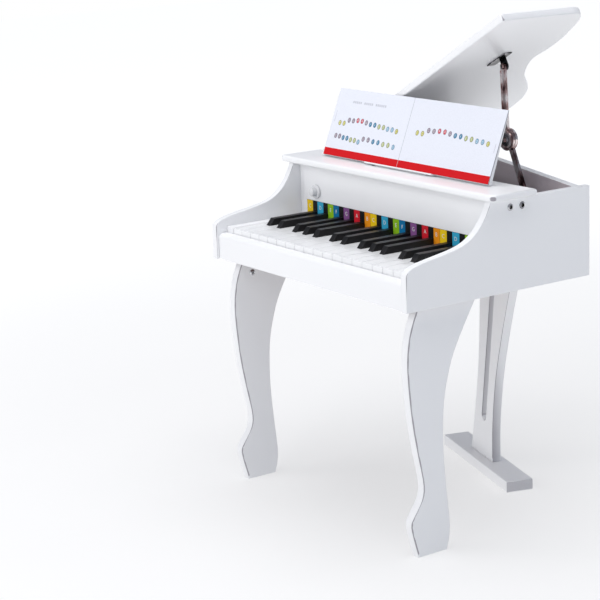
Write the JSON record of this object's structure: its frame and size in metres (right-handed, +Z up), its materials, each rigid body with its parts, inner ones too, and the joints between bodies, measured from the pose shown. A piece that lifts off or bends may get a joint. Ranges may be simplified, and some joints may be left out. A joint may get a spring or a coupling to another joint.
{
  "type": "toy grand piano",
  "caption": "Child's free-standing toy grand piano: white wooden case on cabriole legs, working keys, an opening lid on a folding stay and a music desk with an open song book.",
  "frame": {"origin": "on the floor, under the middle of the toy's bounding box in X and Y as it stands with its lid open", "axes": "+X from bass to treble, +Y from the player to the tail, +Z up"},
  "size_m": [0.5134, 0.529, 0.7322],
  "materials": {
    "white_paint": "white gloss paint on wood board",
    "white_plastic": "gloss",
    "black_plastic": "satin",
    "steel": "bright plated",
    "circuit_board": "satin",
    "printed_paper": null
  },
  "bodies": {
    "case": {"left_side_panel": "white_paint", "right_side_panel": "white_paint", "back_panel": "white_paint", "bottom_board": "white_paint", "keyslip": "white_paint", "key_block_left": "white_paint", "key_block_right": "white_paint", "fallboard": "white_paint", "top_board": "white_paint", "key_frame": "black_plastic", "contact_board": "circuit_board", "note_strip": "printed_paper", "loudspeaker": "black_plastic", "battery_cover": "white_plastic", "right_leg": "white_paint", "left_leg": "white_paint", "rear_post": "white_paint", "rear_foot_bar": "white_paint", "lid_hinge_fixed_leaf": "steel", "lid_hinge_pin": "steel", "stay_case_bracket": "steel"},
    "lid": {"lid": "white_paint", "lid_hinge_moving_leaf": "steel", "stay_lid_bracket": "steel"},
    "stay_upper_arm": {"stay_upper_arm": "steel"},
    "stay_lower_arm": {"stay_lower_arm": "steel"},
    "volume_knob": {"volume_knob": "white_plastic"},
    "music_desk": {"music_desk": "white_paint", "song_book": "printed_paper"},
    "white_key_01": {"white_key_01": "white_plastic"},
    "white_key_02": {"white_key_02": "white_plastic"},
    "white_key_03": {"white_key_03": "white_plastic"},
    "white_key_04": {"white_key_04": "white_plastic"},
    "white_key_05": {"white_key_05": "white_plastic"},
    "white_key_06": {"white_key_06": "white_plastic"},
    "white_key_07": {"white_key_07": "white_plastic"},
    "white_key_08": {"white_key_08": "white_plastic"},
    "white_key_09": {"white_key_09": "white_plastic"},
    "white_key_10": {"white_key_10": "white_plastic"},
    "white_key_11": {"white_key_11": "white_plastic"},
    "white_key_12": {"white_key_12": "white_plastic"},
    "white_key_13": {"white_key_13": "white_plastic"},
    "white_key_14": {"white_key_14": "white_plastic"},
    "white_key_15": {"white_key_15": "white_plastic"},
    "white_key_16": {"white_key_16": "white_plastic"},
    "white_key_17": {"white_key_17": "white_plastic"},
    "white_key_18": {"white_key_18": "white_plastic"},
    "black_key_01": {"black_key_01": "black_plastic"},
    "black_key_02": {"black_key_02": "black_plastic"},
    "black_key_03": {"black_key_03": "black_plastic"},
    "black_key_04": {"black_key_04": "black_plastic"},
    "black_key_05": {"black_key_05": "black_plastic"},
    "black_key_06": {"black_key_06": "black_plastic"},
    "black_key_07": {"black_key_07": "black_plastic"},
    "black_key_08": {"black_key_08": "black_plastic"},
    "black_key_09": {"black_key_09": "black_plastic"},
    "black_key_10": {"black_key_10": "black_plastic"},
    "black_key_11": {"black_key_11": "black_plastic"},
    "black_key_12": {"black_key_12": "black_plastic"}
  },
  "joints": [
    {"name": "lid_hinge", "type": "hinge", "parent": "case", "child": "lid", "pos_m": [-0.24576, 0.0855, 0.4864], "axis": [0, 1, 0], "range_deg": [0, 28.2]},
    {"name": "stay_lower_pivot", "type": "hinge", "parent": "case", "child": "stay_lower_arm", "pos_m": [0.12574, 0.0635, 0.4165], "axis": [0, -1, 0], "range_deg": [0, 52.6]},
    {"name": "stay_upper_pivot", "type": "hinge", "parent": "lid", "child": "stay_upper_arm", "pos_m": [0.06704, 0.0635, 0.6428], "axis": [0, 1, 0], "range_deg": [0, 49.8]},
    {"name": "volume_turn", "type": "hinge", "parent": "case", "child": "volume_knob", "pos_m": [-0.18476, -0.1055, 0.447], "axis": [0, 1, 0], "range_deg": [0, 300]},
    {"name": "desk_lift_out", "type": "slide", "parent": "case", "child": "music_desk", "axis": [0, 0, 1], "range_m": [0, 0.009]},
    {"name": "white_key_press_01", "type": "hinge", "parent": "case", "child": "white_key_01", "pos_m": [-0.19851, -0.0865, 0.391], "axis": [1, 0, 0], "range_deg": [0, 1.8], "stiffness_Nm_per_rad": 0.8, "springref_deg": -5.73},
    {"name": "white_key_press_02", "type": "hinge", "parent": "case", "child": "white_key_02", "pos_m": [-0.17501, -0.0865, 0.391], "axis": [1, 0, 0], "range_deg": [0, 1.8], "stiffness_Nm_per_rad": 0.8, "springref_deg": -5.73},
    {"name": "white_key_press_03", "type": "hinge", "parent": "case", "child": "white_key_03", "pos_m": [-0.15151, -0.0865, 0.391], "axis": [1, 0, 0], "range_deg": [0, 1.8], "stiffness_Nm_per_rad": 0.8, "springref_deg": -5.73},
    {"name": "white_key_press_04", "type": "hinge", "parent": "case", "child": "white_key_04", "pos_m": [-0.12801, -0.0865, 0.391], "axis": [1, 0, 0], "range_deg": [0, 1.8], "stiffness_Nm_per_rad": 0.8, "springref_deg": -5.73},
    {"name": "white_key_press_05", "type": "hinge", "parent": "case", "child": "white_key_05", "pos_m": [-0.10451, -0.0865, 0.391], "axis": [1, 0, 0], "range_deg": [0, 1.8], "stiffness_Nm_per_rad": 0.8, "springref_deg": -5.73},
    {"name": "white_key_press_06", "type": "hinge", "parent": "case", "child": "white_key_06", "pos_m": [-0.08101, -0.0865, 0.391], "axis": [1, 0, 0], "range_deg": [0, 1.8], "stiffness_Nm_per_rad": 0.8, "springref_deg": -5.73},
    {"name": "white_key_press_07", "type": "hinge", "parent": "case", "child": "white_key_07", "pos_m": [-0.05751, -0.0865, 0.391], "axis": [1, 0, 0], "range_deg": [0, 1.8], "stiffness_Nm_per_rad": 0.8, "springref_deg": -5.73},
    {"name": "white_key_press_08", "type": "hinge", "parent": "case", "child": "white_key_08", "pos_m": [-0.03401, -0.0865, 0.391], "axis": [1, 0, 0], "range_deg": [0, 1.8], "stiffness_Nm_per_rad": 0.8, "springref_deg": -5.73},
    {"name": "white_key_press_09", "type": "hinge", "parent": "case", "child": "white_key_09", "pos_m": [-0.01051, -0.0865, 0.391], "axis": [1, 0, 0], "range_deg": [0, 1.8], "stiffness_Nm_per_rad": 0.8, "springref_deg": -5.73},
    {"name": "white_key_press_10", "type": "hinge", "parent": "case", "child": "white_key_10", "pos_m": [0.01299, -0.0865, 0.391], "axis": [1, 0, 0], "range_deg": [0, 1.8], "stiffness_Nm_per_rad": 0.8, "springref_deg": -5.73},
    {"name": "white_key_press_11", "type": "hinge", "parent": "case", "child": "white_key_11", "pos_m": [0.03649, -0.0865, 0.391], "axis": [1, 0, 0], "range_deg": [0, 1.8], "stiffness_Nm_per_rad": 0.8, "springref_deg": -5.73},
    {"name": "white_key_press_12", "type": "hinge", "parent": "case", "child": "white_key_12", "pos_m": [0.05999, -0.0865, 0.391], "axis": [1, 0, 0], "range_deg": [0, 1.8], "stiffness_Nm_per_rad": 0.8, "springref_deg": -5.73},
    {"name": "white_key_press_13", "type": "hinge", "parent": "case", "child": "white_key_13", "pos_m": [0.08349, -0.0865, 0.391], "axis": [1, 0, 0], "range_deg": [0, 1.8], "stiffness_Nm_per_rad": 0.8, "springref_deg": -5.73},
    {"name": "white_key_press_14", "type": "hinge", "parent": "case", "child": "white_key_14", "pos_m": [0.10699, -0.0865, 0.391], "axis": [1, 0, 0], "range_deg": [0, 1.8], "stiffness_Nm_per_rad": 0.8, "springref_deg": -5.73},
    {"name": "white_key_press_15", "type": "hinge", "parent": "case", "child": "white_key_15", "pos_m": [0.13049, -0.0865, 0.391], "axis": [1, 0, 0], "range_deg": [0, 1.8], "stiffness_Nm_per_rad": 0.8, "springref_deg": -5.73},
    {"name": "white_key_press_16", "type": "hinge", "parent": "case", "child": "white_key_16", "pos_m": [0.15399, -0.0865, 0.391], "axis": [1, 0, 0], "range_deg": [0, 1.8], "stiffness_Nm_per_rad": 0.8, "springref_deg": -5.73},
    {"name": "white_key_press_17", "type": "hinge", "parent": "case", "child": "white_key_17", "pos_m": [0.17749, -0.0865, 0.391], "axis": [1, 0, 0], "range_deg": [0, 1.8], "stiffness_Nm_per_rad": 0.8, "springref_deg": -5.73},
    {"name": "white_key_press_18", "type": "hinge", "parent": "case", "child": "white_key_18", "pos_m": [0.20099, -0.0865, 0.391], "axis": [1, 0, 0], "range_deg": [0, 1.8], "stiffness_Nm_per_rad": 0.8, "springref_deg": -5.73},
    {"name": "black_key_press_01", "type": "hinge", "parent": "case", "child": "black_key_01", "pos_m": [-0.18856, -0.0865, 0.391], "axis": [1, 0, 0], "range_deg": [0, 1.8], "stiffness_Nm_per_rad": 0.8, "springref_deg": -5.73},
    {"name": "black_key_press_02", "type": "hinge", "parent": "case", "child": "black_key_02", "pos_m": [-0.16066, -0.0865, 0.391], "axis": [1, 0, 0], "range_deg": [0, 1.8], "stiffness_Nm_per_rad": 0.8, "springref_deg": -5.73},
    {"name": "black_key_press_03", "type": "hinge", "parent": "case", "child": "black_key_03", "pos_m": [-0.11946, -0.0865, 0.391], "axis": [1, 0, 0], "range_deg": [0, 1.8], "stiffness_Nm_per_rad": 0.8, "springref_deg": -5.73},
    {"name": "black_key_press_04", "type": "hinge", "parent": "case", "child": "black_key_04", "pos_m": [-0.09276, -0.0865, 0.391], "axis": [1, 0, 0], "range_deg": [0, 1.8], "stiffness_Nm_per_rad": 0.8, "springref_deg": -5.73},
    {"name": "black_key_press_05", "type": "hinge", "parent": "case", "child": "black_key_05", "pos_m": [-0.06606, -0.0865, 0.391], "axis": [1, 0, 0], "range_deg": [0, 1.8], "stiffness_Nm_per_rad": 0.8, "springref_deg": -5.73},
    {"name": "black_key_press_06", "type": "hinge", "parent": "case", "child": "black_key_06", "pos_m": [-0.02406, -0.0865, 0.391], "axis": [1, 0, 0], "range_deg": [0, 1.8], "stiffness_Nm_per_rad": 0.8, "springref_deg": -5.73},
    {"name": "black_key_press_07", "type": "hinge", "parent": "case", "child": "black_key_07", "pos_m": [0.00384, -0.0865, 0.391], "axis": [1, 0, 0], "range_deg": [0, 1.8], "stiffness_Nm_per_rad": 0.8, "springref_deg": -5.73},
    {"name": "black_key_press_08", "type": "hinge", "parent": "case", "child": "black_key_08", "pos_m": [0.04504, -0.0865, 0.391], "axis": [1, 0, 0], "range_deg": [0, 1.8], "stiffness_Nm_per_rad": 0.8, "springref_deg": -5.73},
    {"name": "black_key_press_09", "type": "hinge", "parent": "case", "child": "black_key_09", "pos_m": [0.07174, -0.0865, 0.391], "axis": [1, 0, 0], "range_deg": [0, 1.8], "stiffness_Nm_per_rad": 0.8, "springref_deg": -5.73},
    {"name": "black_key_press_10", "type": "hinge", "parent": "case", "child": "black_key_10", "pos_m": [0.09844, -0.0865, 0.391], "axis": [1, 0, 0], "range_deg": [0, 1.8], "stiffness_Nm_per_rad": 0.8, "springref_deg": -5.73},
    {"name": "black_key_press_11", "type": "hinge", "parent": "case", "child": "black_key_11", "pos_m": [0.14044, -0.0865, 0.391], "axis": [1, 0, 0], "range_deg": [0, 1.8], "stiffness_Nm_per_rad": 0.8, "springref_deg": -5.73},
    {"name": "black_key_press_12", "type": "hinge", "parent": "case", "child": "black_key_12", "pos_m": [0.16834, -0.0865, 0.391], "axis": [1, 0, 0], "range_deg": [0, 1.8], "stiffness_Nm_per_rad": 0.8, "springref_deg": -5.73}
  ],
  "couplings": [
    {"joint": "stay_lower_pivot", "follows": "lid_hinge", "ratio": 1.8553},
    {"joint": "stay_upper_pivot", "follows": "lid_hinge", "ratio": 1.7549}
  ]
}
